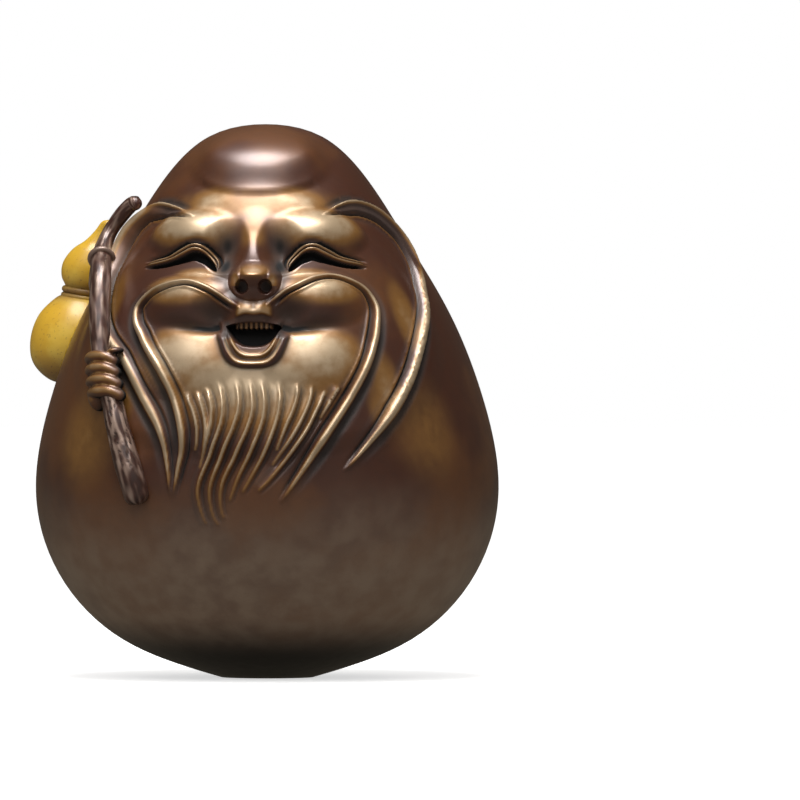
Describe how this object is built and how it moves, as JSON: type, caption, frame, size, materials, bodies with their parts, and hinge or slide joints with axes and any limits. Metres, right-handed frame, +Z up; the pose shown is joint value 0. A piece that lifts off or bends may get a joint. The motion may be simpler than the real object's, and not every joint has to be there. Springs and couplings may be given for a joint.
{
  "type": "roly-poly figure",
  "caption": "Egg-shaped cast-metal figure of a laughing old immortal with long brows and beard, holding a knotty staff, with a bottle gourd behind the shoulder.",
  "frame": {"origin": "the middle of the small flat foot that the figure rests on", "axes": "+Z up through the crown, -Y the way the face looks, +X towards the figure's left shoulder"},
  "size_m": [0.1278, 0.1208, 0.15],
  "materials": {
    "copper": "satin brown patinated cast copper alloy, rubbed bright on the ridges and dark in the hollows",
    "yellow": "satin mustard-yellow paint with a brown wash at the waist and base"
  },
  "bodies": {
    "root": {"figure": "copper", "gourd": "yellow"}
  },
  "joints": []
}
